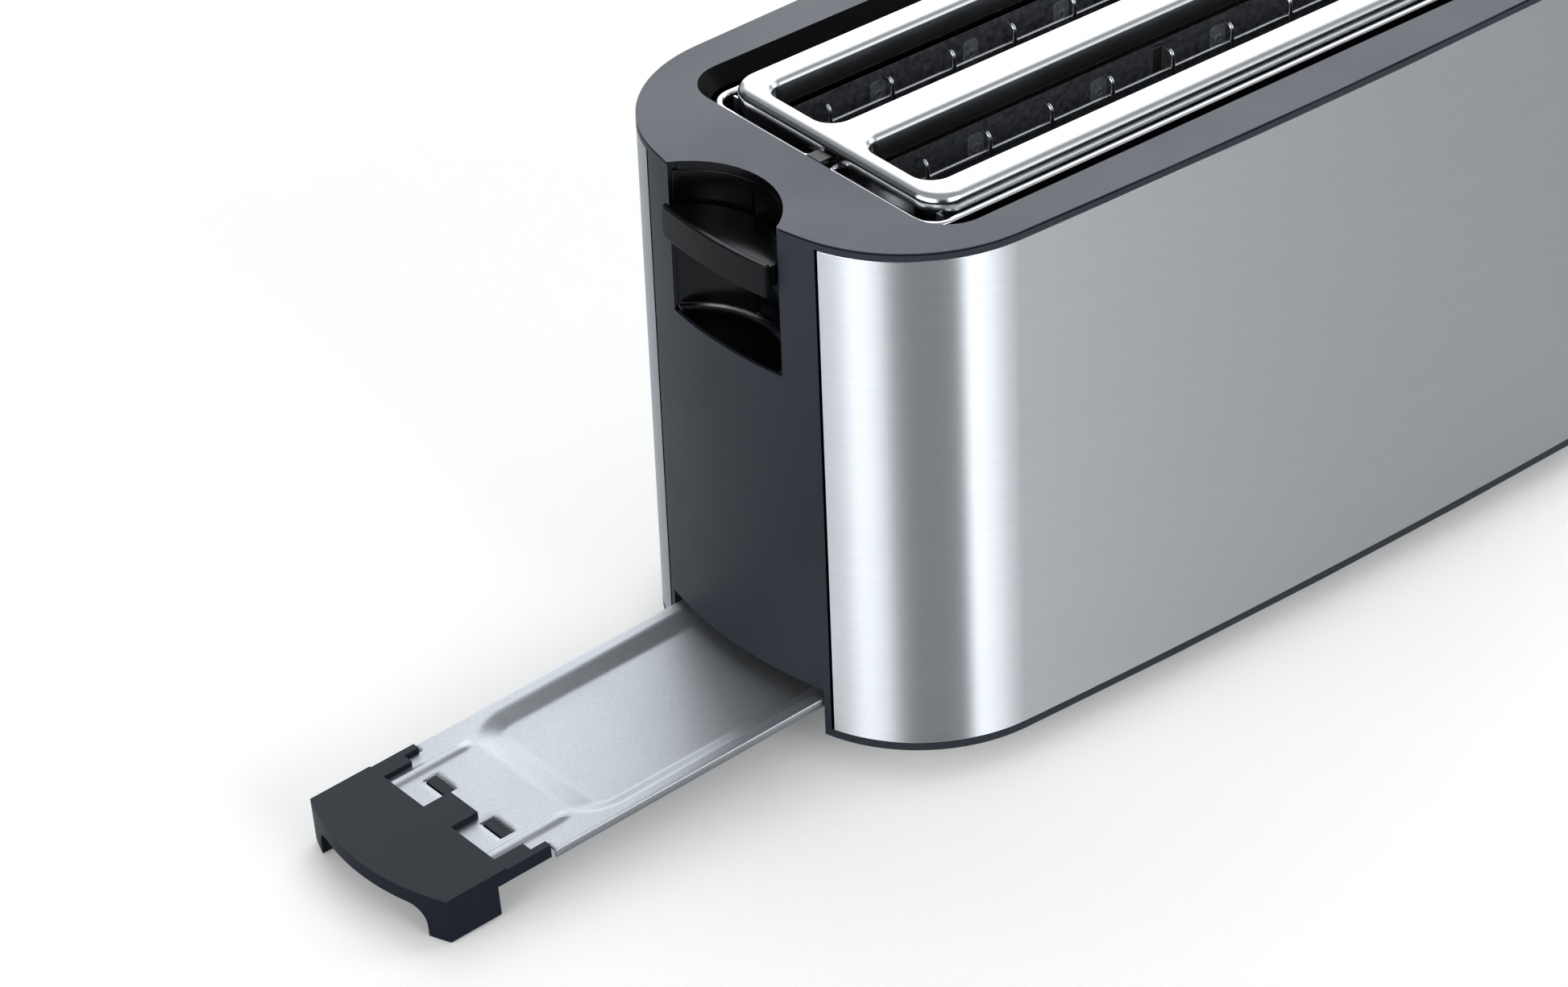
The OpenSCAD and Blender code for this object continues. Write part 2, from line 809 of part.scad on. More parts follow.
// Guide rails that stand on the base plate and carry the tray's edges
module tray_rails() {
  gap = 0.4;
  lip = 3;
  rail_end = -4.2;
  rail_rear = tray_rear - tray_out - 2;
  color(zinc) for (sy = [-1, 1]) {
    y0 = sy > 0 ? tray_half + gap : -tray_half - gap - 1;
    intersection() {
      in_tray() box([rail_rear, y0, -40], [rail_end, y0 + 1, 2]);
      box([-half_len, -50, base_top], [half_len, 50, 60]);
    }
    in_tray() box([rail_rear, sy > 0 ? tray_half - 2 : -tray_half - gap - 0.5, -lip - 1 - gap],
                  [rail_end - 20, sy > 0 ? tray_half + gap + 0.5 : -tray_half + 2, -lip - gap]);
  }
}

// ---------- controls ----------

module control_bezel() {
  color(dark_plastic) difference() {
    union() {
      intersection() {
        control_window(0);
        side_shell(-1, 20, 80, -1.2, 0, seam_y + 10);
      }
      intersection() {
        control_window(-2.3);
        side_shell(-1, 20, 80, -0.1, 3.5, seam_y + 10);
      }
      for (x = [30, 118], z = [-11, 11])
        rod_y([x, -half_wid + 3, control_z + z], half_wid - 3 + board_y - 0.05, 5);
    }
    for (x = button_x) rod_y([x, -half_wid - 5, control_z], 15, button_d + 0.8);
    for (x = button_x) rod_y([x, -half_wid - 5, control_z + 13.5], 15, 3.2);
    rod_y([dial_x, -half_wid - 5, control_z], 15, 10);
  }
}

module browning_dial() {
  back = -86.4;
  color(dark_plastic) difference() {
    union() {
      rod_y([dial_x, back - 9, control_z], 9, dial_d);
      rod_y([dial_x, back - 1, control_z], 18, 6);
    }
    box([dial_x - 0.8, back - 10, control_z + 5], [dial_x + 0.8, back - 8.4, control_z + dial_d / 2 - 2]);
  }
}

module push_button(i) {
  color(dark_plastic) rod_y([button_x[i], -88.4, control_z], 8.6, button_d);
}

module stop_button() { push_button(0); }

module defrost_button() { push_button(1); }

module reheat_button() { push_button(2); }

module light_pipes() {
  color([0.9, 0.9, 0.85]) for (x = button_x)
    rod_y([x, board_y - 0.1 - 12.1, control_z + 13.5], 12.1, 3);
}

module control_board() {
  color([0.10, 0.32, 0.16]) difference() {
    box([24, board_y, control_z - 17], [124, board_y + board_t, control_z + 17]);
    rod_y([dial_x, board_y - 1, control_z], board_t + 2, 9.4);
  }
}

module potentiometer() {
  body_y = board_y + board_t;
  color([0.25, 0.27, 0.30]) difference() {
    union() {
      rod_y([dial_x, body_y - 7, control_z], 8, 9);
      rod_y([dial_x, body_y + 0.02, control_z], 9, 18);
    }
    rod_y([dial_x, body_y - 8, control_z], 13, 6 + 2 * fit_gap);
  }
}

module button_switches() {
  color([0.25, 0.27, 0.30]) for (x = button_x) {
    box([x - 3, board_y - 2.6, control_z - 3], [x + 3, board_y - 0.02, control_z + 3]);
    rod_y([x, board_y - 3.2, control_z], 1, 3);
  }
}

// ---------- bun rack ----------

// Quarter bend of wire in the level plane, centred at c, from angle a to a + 90
module wire_bend(c, r, a) {
  translate([c[0], c[1], rack_z]) rotate(a)
    rotate_extrude(angle = 90) translate([r, 0]) circle(d = rack_wire, $fn = 24);
}

module bun_rack_front() {
  end_bend = 2.4;
  long = rack_end_x - rack_corner;
  inner_y = rack_pivot_y + end_bend;
  pivot_x = wall_x + chassis_t + 0.4;
  color(polished) {
    rod_x([-long, -rack_half_y, rack_z], 2 * long, rack_wire);
    for (m = [0, 1]) mirror([m, 0, 0]) {
      wire_bend([long, -rack_half_y + rack_corner], rack_corner, -90);
      rod_y([rack_end_x, -rack_half_y + rack_corner, rack_z],
            rack_half_y - rack_corner - inner_y, rack_wire);
      wire_bend([rack_end_x - end_bend, -inner_y], end_bend, 0);
      rod_x([pivot_x, -rack_pivot_y, rack_z], rack_end_x - end_bend - pivot_x, rack_wire);
    }
  }
}

module bun_rack_rear() { mirror([0, 1, 0]) bun_rack_front(); }

module rack_bracket() {
  block_low = rod_high + 0.3;
  x0 = wall_x + chassis_t;
  color(dark_plastic) difference() {
    union() {
      box([x0, -9, block_low], [x0 + 3.8, 9, plate_low - 0.4]);
      box([x0 + 3, -3.4, block_low], [x0 + 9.3, 3.4, plate_low + 1.4]);
    }
    for (sy = [-1, 1])
      rod_x([x0 - 1, sy * rack_pivot_y, rack_z], 6, rack_wire + 2 * fit_gap);
    box([x0 - 1, -8, plate_low - 0.4], [x0 + 4, 8, plate_low + 5]);
  }
}

module bracket_lever() { rack_bracket(); }

module bracket_far() { mirror([1, 0, 0]) rack_bracket(); }

// ---------- mains inlet ----------

module cord_gland() {
  color(dark_plastic) difference() {
    union() {
      rod_x([-half_len - 2.2, 0, gland_z], 2.1, 16);
      rod_x([-half_len - 0.2, 0, gland_z], 7, 10);
      rod_x([-half_len + wall + 0.4, 0, gland_z], 2, 14);
    }
    rod_x([-half_len - 3, 0, gland_z], 12, gland_bore);
  }
}

module terminal_block() {
  pole_pitch = 11;
  color([0.85, 0.84, 0.80]) difference() {
    box([-170, -1.5 * pole_pitch, base_top], [-154, 1.5 * pole_pitch, base_top + 14]);
    for (i = [-1 : 1])
      rod_z([-162, pole_pitch * i, base_top + 6], 10, 5);
  }
}

housing();
top_cover();
front_steel_panel();
rear_steel_panel();
slot_plate();
base_plate();
feet();
base_screws();
lever_recess();
top_frame();
end_wall_lever();
end_wall_far();
reflector_front();
reflector_rear();
heater_front_outer();
heater_front_inner();
heater_rear_inner();
heater_rear_outer();
ribbon_front_outer();
ribbon_front_inner();
ribbon_rear_inner();
ribbon_rear_outer();
holder_front_outer();
holder_front_inner();
holder_rear_inner();
holder_rear_outer();
cage_front_outer();
cage_front_inner();
cage_rear_inner();
cage_rear_outer();
guide_rod();
return_spring();
carriage();
armature();
solenoid();
bread_rack_front();
bread_rack_rear();
lever_knob();
crumb_tray();
tray_handle();
control_bezel();
browning_dial();
stop_button();
defrost_button();
reheat_button();
light_pipes();
control_board();
potentiometer();
button_switches();
bun_rack_front();
bun_rack_rear();
bracket_lever();
bracket_far();
cord_gland();
terminal_block();
tray_rails();
heat_shield();
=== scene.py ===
"""Looks of the pop up toaster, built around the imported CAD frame.

Metres, in the CAD frame: origin in the middle of the body on the standing plane, +X towards the
lever end, -Y the control side, +Z up.
"""
import json
import math

import bmesh
import bpy
from mathutils import Matrix, Vector


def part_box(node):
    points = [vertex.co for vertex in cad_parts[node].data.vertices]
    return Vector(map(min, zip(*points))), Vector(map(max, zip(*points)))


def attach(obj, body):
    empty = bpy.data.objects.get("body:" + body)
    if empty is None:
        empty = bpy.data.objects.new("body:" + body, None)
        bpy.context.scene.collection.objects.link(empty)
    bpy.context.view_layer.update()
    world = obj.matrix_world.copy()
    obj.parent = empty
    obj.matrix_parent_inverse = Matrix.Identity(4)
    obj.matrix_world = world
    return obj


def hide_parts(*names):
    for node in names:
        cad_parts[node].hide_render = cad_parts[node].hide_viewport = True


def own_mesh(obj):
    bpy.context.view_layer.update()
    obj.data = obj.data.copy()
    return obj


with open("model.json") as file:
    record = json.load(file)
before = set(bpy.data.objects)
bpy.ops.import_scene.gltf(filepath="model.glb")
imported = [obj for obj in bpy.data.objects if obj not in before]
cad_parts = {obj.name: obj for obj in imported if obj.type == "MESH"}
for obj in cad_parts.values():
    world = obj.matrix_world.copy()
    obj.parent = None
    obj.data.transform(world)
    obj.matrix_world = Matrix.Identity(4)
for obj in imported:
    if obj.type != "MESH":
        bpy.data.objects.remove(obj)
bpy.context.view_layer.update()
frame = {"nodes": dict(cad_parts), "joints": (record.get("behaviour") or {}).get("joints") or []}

scene = bpy.context.scene
MM = 0.001


def mm(*values):
    """Millimetres to metres, one number or a tuple."""
    return values[0] * MM if len(values) == 1 else tuple(v * MM for v in values)


# ---------- driving sizes, the same as the CAD's ----------

END_R, CORNER_R, SIDE_R = mm(165, 56, 3350)   # the body's outline: crowned end, corner, side
SHEET = mm(0.8)                               # steel panels, slot plate and crumb tray
RECESS_R = mm(32.2)                           # the round notch for the lever
TRAY_TILT = math.radians(3.2)

HALF_LEN, HALF_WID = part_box("housing")[1].xy
PLATE_X, PLATE_Y, PLATE_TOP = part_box("slot_plate")[1]
PLATE_HALF = (PLATE_X, PLATE_Y, mm(11))       # half length, half width, corner radius
RECESS_X = HALF_LEN + mm(13.4)                # centre of the notch
SEAM_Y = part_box("rear_steel_panel")[0].y      # where the steel meets the end panels

END_CX = HALF_LEN - END_R
SIDE_CY = HALF_WID - SIDE_R


def corner_centre():
    """Centre of the corner arc that is tangent to the crowned end and the crowned side."""
    gap = math.hypot(END_CX, SIDE_CY)
    end_in, side_in = END_R - CORNER_R, SIDE_R - CORNER_R
    along = (end_in**2 - side_in**2 + gap**2) / (2 * gap)
    up = math.sqrt(end_in**2 - along**2)
    x = END_CX - (along * END_CX + up * SIDE_CY) / gap
    y = (along * SIDE_CY - up * END_CX) / gap
    return x, y


CORNER_X, CORNER_Y = corner_centre()
SIDE_ANGLE = math.atan2(CORNER_Y - SIDE_CY, CORNER_X)


# ---------- outlines: lists of (x, y) points, counter-clockwise ----------


def arc(cx, cy, r, start, stop, count):
    """Points on an arc, both ends included. Angles in radians."""
    steps = [start + (stop - start) * i / (count - 1) for i in range(count)]
    return [(cx + r * math.cos(a), cy + r * math.sin(a)) for a in steps]


def half_outline(inset, y_from):
    """Body outline over +Y, from y_from on the lever end's corner to the far end's."""
    r = CORNER_R - inset
    first_angle = math.asin((y_from - CORNER_Y) / r)
    right = arc(CORNER_X, CORNER_Y, r, first_angle, SIDE_ANGLE, 28)
    right += arc(0, SIDE_CY, SIDE_R - inset, SIDE_ANGLE, math.pi / 2, 8)[1:]
    return right + [(-x, y) for x, y in reversed(right[:-1])]


def round_rect(half, grow=0.0, count=9):
    """Rounded rectangle from (half length, half width, corner radius), grown by grow all round."""
    r = half[2] + grow
    cx, cy = half[0] - half[2], half[1] - half[2]
    points = []
    for k, (sx, sy) in enumerate(((1, 1), (-1, 1), (-1, -1), (1, -1))):
        start = k * math.pi / 2
        points += arc(sx * cx, sy * cy, r, start, start + math.pi / 2, count)
    return points


# ---------- meshes ----------


def piece(name, bm, body, material, nodes, crease=38):
    """Turns a bmesh into a piece with smooth shading and sharp edges over the crease angle."""
    bmesh.ops.remove_doubles(bm, verts=bm.verts, dist=1e-6)
    bmesh.ops.recalc_face_normals(bm, faces=bm.faces)
    mesh = bpy.data.meshes.new(name)
    bm.to_mesh(mesh)
    bm.free()
    return dress(mesh, name, body, material, nodes, crease)


def dress(mesh, name, body, material, nodes, crease=38):
    """Makes an object of a mesh: shading, material, body and the CAD nodes that it stands for."""
    mesh.shade_smooth()
    mesh.set_sharp_from_angle(angle=math.radians(crease))
    obj = bpy.data.objects.new(name, mesh)
    scene.collection.objects.link(obj)
    mesh.materials.clear()
    mesh.materials.append(material)
    weighted = obj.modifiers.new("weighted", "WEIGHTED_NORMAL")
    weighted.keep_sharp = True
    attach(obj, body)
    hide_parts(*nodes)
    return obj


def rounding(z, r, steps):
    """(inset, z) pairs of a rounded edge, from the flat face at height z down to the wall."""
    turns = [math.pi / 2 * i / steps for i in range(steps + 1)]
    return [(r * (1 - math.sin(a)), z - r * (1 - math.cos(a))) for a in turns]


def add_rings(bm, rings, closed=True):
    """Joins rings of equal length with quads, and gives back their vertices."""
    made = [[bm.verts.new(p) for p in ring] for ring in rings]
    count = len(rings[0])
    for low, high in zip(made, made[1:]):
        for i in range(count if closed else count - 1):
            j = (i + 1) % count
            bm.faces.new((low[i], low[j], high[j], high[i]))
    return made


def cap(bm, *loops):
    """Fills the flat area between the loops of vertices."""
    edges = []
    for loop in loops:
        for i in range(len(loop)):
            pair = (loop[i], loop[(i + 1) % len(loop)])
            edges.append(bm.edges.get(pair) or bm.edges.new(pair))
    bmesh.ops.triangle_fill(bm, edges=edges, use_beauty=True, use_dissolve=False)


def tube(bm, path, r, sides=12):
    """A round wire along a path of points, with flat ends."""
    points = [Vector(p) for p in path]
    rings = []
    up = None
    for i, p in enumerate(points):
        before, after = points[max(i - 1, 0)], points[min(i + 1, len(points) - 1)]
        along = (after - before).normalized()
        if up is None:
            up = Vector((0, 0, 1)) if abs(along.z) < 0.9 else Vector((1, 0, 0))
        up = (up - along * up.dot(along)).normalized()
        across = along.cross(up)
        rings.append([p + r * (math.cos(t) * up + math.sin(t) * across)
                      for t in [2 * math.pi * k / sides for k in range(sides)]])
    made = add_rings(bm, rings)
    bm.faces.new(made[0])
    bm.faces.new(list(reversed(made[-1])))


def bent(corners, radii, steps=7):
    """A path through the corners, with each inner corner turned on an arc of its own radius."""
    points = [Vector(c) for c in corners]
    path = [points[0]]
    for a, b, c, r in zip(points, points[1:], points[2:], radii):
        to_a, to_c = (a - b).normalized(), (c - b).normalized()
        half = to_a.angle(to_c) / 2
        centre = b + (to_a + to_c).normalized() * r / math.sin(half)
        start = b + to_a * r / math.tan(half) - centre
        stop = b + to_c * r / math.tan(half) - centre
        path += [centre + r * start.normalized().slerp(stop.normalized(), i / steps)
                 for i in range(steps + 1)]
    return path + [points[-1]]


def softened(node, body, material, r):
    """The CAD node's own shape with its sharp edges rounded, as a piece that stands for it."""
    bm = bmesh.new()
    bm.from_mesh(frame["nodes"][node].data)
    bmesh.ops.remove_doubles(bm, verts=bm.verts, dist=2e-6)
    bmesh.ops.dissolve_limit(bm, angle_limit=0.01, verts=bm.verts, edges=bm.edges)
    mesh = bpy.data.meshes.new(node + "_looks")
    bm.to_mesh(mesh)
    bm.free()
    obj = dress(mesh, node + "_looks", body, material, (node,))
    bevel = obj.modifiers.new("edges", "BEVEL")
    bevel.width = r
    bevel.segments = 2
    bevel.limit_method = "ANGLE"
    bevel.angle_limit = math.radians(35)
    bevel.use_clamp_overlap = True
    obj.modifiers.move(1, 0)
    return obj


# ---------- materials ----------


class Nodes:
    """Short names for making a material's nodes."""

    def __init__(self, name):
        self.material = bpy.data.materials.new(name)
        self.material.use_nodes = True
        self.tree = self.material.node_tree
        self.shader = self.tree.nodes["Principled BSDF"]
        self.place = self.tree.nodes.new("ShaderNodeTexCoord").outputs["Object"]

    def value(self, socket, number):
        self.shader.inputs[socket].default_value = number

    def link(self, source, target):
        self.tree.links.new(source, target)

    def scaled(self, x, y, z):
        node = self.tree.nodes.new("ShaderNodeMapping")
        node.inputs["Scale"].default_value = (x, y, z)
        self.link(self.place, node.inputs["Vector"])
        return node.outputs["Vector"]

    def noise(self, vector, scale, detail=4, rough=0.6):
        node = self.tree.nodes.new("ShaderNodeTexNoise")
        node.inputs["Scale"].default_value = scale
        node.inputs["Detail"].default_value = detail
        node.inputs["Roughness"].default_value = rough
        self.link(vector, node.inputs["Vector"])
        return node.outputs["Fac"]

    def cells(self, vector, scale):
        node = self.tree.nodes.new("ShaderNodeTexVoronoi")
        node.inputs["Scale"].default_value = scale
        self.link(vector, node.inputs["Vector"])
        return node.outputs["Distance"]

    def ramp(self, factor, low, high, start=0.3, stop=0.7):
        node = self.tree.nodes.new("ShaderNodeMapRange")
        node.inputs["From Min"].default_value = start
        node.inputs["From Max"].default_value = stop
        node.inputs["To Min"].default_value = low
        node.inputs["To Max"].default_value = high
        self.link(factor, node.inputs["Value"])
        return node.outputs["Result"]

    def shade(self, factor, dark, light, start=0.3, stop=0.7):
        node = self.tree.nodes.new("ShaderNodeValToRGB")
        ends = node.color_ramp.elements
        ends[0].position, ends[0].color = start, (*dark, 1)
        ends[1].position, ends[1].color = stop, (*light, 1)
        self.link(factor, node.inputs["Fac"])
        self.link(node.outputs["Color"], self.shader.inputs["Base Color"])

    def bump(self, height, distance, strength=1.0, after=None):
        node = self.tree.nodes.new("ShaderNodeBump")
        node.inputs["Distance"].default_value = distance
        node.inputs["Strength"].default_value = strength
        self.link(height, node.inputs["Height"])
        if after:
            self.link(after, node.inputs["Normal"])
        self.link(node.outputs["Normal"], self.shader.inputs["Normal"])
        return node.outputs["Normal"]


def plastic(name, dark, light, grain, depth, rough, spread=0.06, specular=0.5):
    """Moulded plastic: eroded grain, faint uneven colour and uneven gloss."""
    n = Nodes(name)
    n.value("Specular IOR Level", specular)
    fine = n.noise(n.place, grain, 5, 0.65)
    broad = n.noise(n.place, 14, 3)
    n.shade(fine, dark, light)
    n.link(n.ramp(broad, rough - spread, rough + spread), n.shader.inputs["Roughness"])
    n.bump(fine, depth, 0.6, n.bump(n.cells(n.place, grain * 0.8), depth, 0.5))
    return n.material


def metal(name, dark, light, rough, grain, depth, stretch=(1, 1, 1), aniso=0.0, spread=0.05):
    """Metal with scratches or mottling; stretch lays the grain along one direction."""
    n = Nodes(name)
    n.value("Metallic", 1)
    n.value("Anisotropic", aniso)
    fine = n.noise(n.scaled(*stretch), grain, 6, 0.7)
    broad = n.noise(n.place, 9, 3)
    n.shade(fine, dark, light)
    n.link(n.ramp(broad, rough - spread, rough + spread), n.shader.inputs["Roughness"])
    n.bump(fine, depth, 0.7)
    return n.material


def brushed(name, dark, light, rough, aniso):
    """Steel brushed level: long scratches that run round the body, fine from top to bottom."""
    n = Nodes(name)
    n.value("Metallic", 1)
    n.value("Anisotropic", aniso)
    n.value("Anisotropic Rotation", 0.25)
    lines = n.noise(n.scaled(4, 4, 1400), 2.5, 6, 0.7)
    patches = n.noise(n.scaled(1, 1, 30), 6, 3)
    n.shade(lines, dark, light, 0.25, 0.75)
    n.link(n.ramp(patches, rough - 0.015, rough + 0.015), n.shader.inputs["Roughness"])
    n.bump(lines, mm(0.03), 0.5)
    tangent = n.tree.nodes.new("ShaderNodeTangent")
    tangent.direction_type = "RADIAL"
    tangent.axis = "Z"
    n.link(tangent.outputs["Tangent"], n.shader.inputs["Tangent"])
    return n.material


def glow_plastic(name):
    """Clear light pipe with a frosted face."""
    n = Nodes(name)
    n.value("Transmission Weight", 0.7)
    n.value("IOR", 1.49)
    frost = n.noise(n.place, 900, 3)
    n.shade(frost, (0.75, 0.76, 0.72), (0.9, 0.9, 0.86))
    n.link(n.ramp(frost, 0.15, 0.35), n.shader.inputs["Roughness"])
    n.bump(frost, mm(0.02), 0.4)
    return n.material


LOOKS = {
    "cover": plastic("cover_plastic", (0.008, 0.014, 0.025), (0.012, 0.019, 0.031),
                     grain=1500, depth=mm(0.03), rough=0.40, specular=0.52),
    "end": plastic("end_plastic", (0.010, 0.013, 0.018), (0.014, 0.018, 0.024),
                   grain=1500, depth=mm(0.02), rough=0.40, specular=0.4),
    "dark": plastic("dark_plastic", (0.010, 0.010, 0.011), (0.016, 0.016, 0.018),
                    grain=1700, depth=mm(0.03), rough=0.38),
    "steel": brushed("brushed_steel", (0.56, 0.57, 0.58), (0.64, 0.65, 0.66),
                     rough=0.38, aniso=1.0),
    "polished": metal("polished_steel", (0.64, 0.65, 0.66), (0.70, 0.71, 0.72),
                      rough=0.19, grain=60, depth=mm(0.004), stretch=(40, 2, 2), aniso=0.2,
                      spread=0.03),
    "chrome": metal("chrome_wire", (0.80, 0.80, 0.81), (0.88, 0.88, 0.89),
                    rough=0.08, grain=300, depth=mm(0.004), spread=0.02),
    "zinc": metal("zinc_steel", (0.52, 0.54, 0.56), (0.64, 0.66, 0.68),
                  rough=0.36, grain=420, depth=mm(0.01)),
    "tray": metal("tray_steel", (0.38, 0.395, 0.41), (0.46, 0.475, 0.49),
                  rough=0.46, grain=900, depth=mm(0.012)),
    "sooty": metal("dark_steel", (0.05, 0.052, 0.056), (0.16, 0.165, 0.175),
                   rough=0.34, grain=700, depth=mm(0.12)),
    "mica": plastic("mica_board", (0.030, 0.027, 0.022), (0.060, 0.052, 0.040),
                    grain=500, depth=mm(0.03), rough=0.4),
    "ribbon": metal("nichrome", (0.20, 0.18, 0.16), (0.30, 0.27, 0.24),
                    rough=0.38, grain=700, depth=mm(0.01)),
    "copper": metal("copper_coil", (0.35, 0.12, 0.05), (0.55, 0.22, 0.10),
                    rough=0.35, grain=40, depth=mm(0.05), stretch=(1, 1, 60)),
    "board": plastic("circuit_board", (0.010, 0.09, 0.035), (0.015, 0.14, 0.055),
                     grain=260, depth=mm(0.03), rough=0.32),
    "component": plastic("component_plastic", (0.03, 0.033, 0.038), (0.045, 0.05, 0.056),
                         grain=900, depth=mm(0.02), rough=0.4),
    "terminal": plastic("terminal_plastic", (0.62, 0.60, 0.54), (0.72, 0.70, 0.64),
                        grain=800, depth=mm(0.02), rough=0.45),
    "pipe": glow_plastic("light_pipe"),
    # Painted shade: near black for the lever recess, its notch walls and the brackets, darker than
    # the housing's own plastic
    "recess": plastic("recess_painted_shade", (0.0005, 0.0005, 0.0006), (0.0012, 0.0012, 0.0015),
                      grain=1400, depth=mm(0.03), rough=0.15, specular=0.35),
    "lever": plastic("lever_plastic", (0.0015, 0.0020, 0.0028), (0.003, 0.0036, 0.0045),
                     grain=1500, depth=mm(0.015), rough=0.13, specular=0.2),
    "handle": plastic("handle_plastic", (0.004, 0.007, 0.012), (0.007, 0.010, 0.016),
                      grain=1500, depth=mm(0.02), rough=0.42, specular=0.15),
    "guard": metal("guard_wire", (0.50, 0.51, 0.52), (0.64, 0.65, 0.66),
                   rough=0.24, grain=500, depth=mm(0.005)),
    "holder": plastic("holder_steel", (0.012, 0.013, 0.015), (0.11, 0.115, 0.125),
                      grain=420, depth=mm(0.12), rough=0.30),
    "tab": plastic("tab_steel", (0.10, 0.105, 0.115), (0.20, 0.21, 0.225),
                   grain=600, depth=mm(0.05), rough=0.25, specular=0.9),
    # Painted shade: nearly black, for the seam grooves, the cover's walls round the slot plate,
    # the recess floor and the top frame
    "shade": plastic("shaded_plastic", (0.0004, 0.0004, 0.0005), (0.0010, 0.0010, 0.0012),
                     grain=1400, depth=mm(0.03), rough=0.4, specular=0.06),
    "rubber": plastic("rubber_foot", (0.012, 0.012, 0.012), (0.020, 0.020, 0.020),
                      grain=700, depth=mm(0.04), rough=0.7),
}

# The look of a CAD node that stays in view, by its record slot.
SLOT_LOOKS = {
    "black_plastic": "end", "dark_plastic": "dark", "brushed_steel": "steel",
    "polished_steel": "polished", "chrome_wire": "chrome", "zinc_steel": "zinc",
    "dark_steel": "sooty", "mica": "mica", "nichrome": "ribbon", "copper_coil": "copper",
    "circuit_board": "board", "component_plastic": "component",
    "terminal_plastic": "terminal", "light_pipe": "pipe", "rubber_foot": "rubber",
}

# The record's material slot of each CAD node, read before the nodes get their looks.
NODE_SLOTS = {node: obj.data.materials[0].name.split(".")[0]
              for node, obj in frame["nodes"].items()}


def dress_cad_nodes():
    """Gives each CAD node the look of its own material slot."""
    for node, obj in frame["nodes"].items():
        obj.data.materials.clear()
        obj.data.materials.append(LOOKS[SLOT_LOOKS[NODE_SLOTS[node]]])


# ---------- casing ----------


def steel_panel():
    """The rear panel, which wraps round both corners, with a rolled edge top and bottom."""
    low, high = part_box("rear_steel_panel")
    roll = mm(0.35)
    profile = [(SHEET, low.z + roll), (SHEET, high.z - roll)]
    profile += [(roll, high.z), (roll * 0.3, high.z - roll * 0.3), (0, high.z - roll)]
    profile += [(0, low.z + roll), (roll * 0.3, low.z + roll * 0.3), (roll, low.z)]
    rings = [[(x, y, z) for x, y in half_outline(inset, SEAM_Y)] for inset, z in profile]
    rings.append(rings[0])
    bm = bmesh.new()
    made = add_rings(bm, rings, closed=False)
    for end in (0, -1):
        bm.faces.new([ring[end] for ring in made[:-1]])
    return bm


def slot_plate():
    """Pressed steel plate: rounded rim with a skirt, and two slots with rolled flanges."""
    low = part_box("slot_plate")[0]
    rim_r, roll_r, flat, soft = mm(3.5, 3.1, 0.4, 0.25)
    slot_half = mm(135.5, 17, 7)
    slot_y, flange = mm(25, 10)
    steps = 7
    rim = [(rim_r + flat, PLATE_TOP)] + rounding(PLATE_TOP, rim_r, steps)
    rim += [(0, low.z + soft), (soft, low.z), (SHEET, low.z + soft)]
    rim += [(SHEET, PLATE_TOP - rim_r), (rim_r, PLATE_TOP - SHEET)]
    walls = [[[(x, y, z) for x, y in round_rect(PLATE_HALF, -inset)] for inset, z in rim]]
    foot = PLATE_TOP - flange
    roll = [(roll_r + flat, PLATE_TOP)] + rounding(PLATE_TOP, roll_r, steps)
    roll += [(0, foot + mm(0.3)), (mm(0.2), foot), (mm(0.6), foot), (SHEET, foot + mm(0.3))]
    roll += [(SHEET, PLATE_TOP - roll_r), (roll_r, PLATE_TOP - SHEET)]
    for side in (-1, 1):
        walls.append([[(x, y + side * slot_y, z) for x, y in round_rect(slot_half, grow)]
                      for grow, z in roll])
    bm = bmesh.new()
    made = [add_rings(bm, wall) for wall in walls]
    cap(bm, *[m[0] for m in made])
    cap(bm, *[m[-1] for m in made])
    return bm


def second_look(obj, look, chosen):
    """Gives the faces picked by chosen(centre, normal) another look: near-black painted shade in
    hollows and gaps, or the tabs' lighter steel.
    """
    obj.data.materials.append(LOOKS[look])
    for face in obj.data.polygons:
        if chosen(face.center, face.normal):
            face.material_index = len(obj.data.materials) - 1


def is_wall(normal):
    """Anything but a flat top or underside."""
    return abs(normal.z) < 0.9


def in_notch(centre, normal):
    """The wall round the lever recess, which is painted near black as shade."""
    reach = math.hypot(centre.x - RECESS_X, centre.y) - RECESS_R
    return is_wall(normal) and mm(-2) < reach < mm(0.5)


def in_seam(centre, normal):
    """The groove in the housing along the edge of each steel panel, painted near black as shade.
    """
    upright, corner_x, groove = 0.5, mm(150), mm(-1.3, 0.2)
    past = abs(centre.y) - SEAM_Y
    return (abs(normal.z) < upright and abs(centre.x) > corner_x
            and groove[0] < past < groove[1])


def in_opening(centre, normal):
    """The cover's walls round the slot plate, painted near black as shade."""
    reach = mm(18)
    inside = abs(centre.x) < PLATE_X + reach and abs(centre.y) < PLATE_Y + reach
    return is_wall(normal) and inside


def board_holder(node):
    """A dark holder strip, with brighter pressed tabs on the side towards the bread."""
    low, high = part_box(node)
    sheet = mm(0.45)
    outer, inner = sorted((low.y, high.y), key=abs, reverse=True)
    back = inner if "inner" in node else outer
    holder = softened(node, "casing", LOOKS["holder"], mm(0.12))
    second_look(holder, "tab", lambda centre, normal: abs(centre.y - back) > sheet)


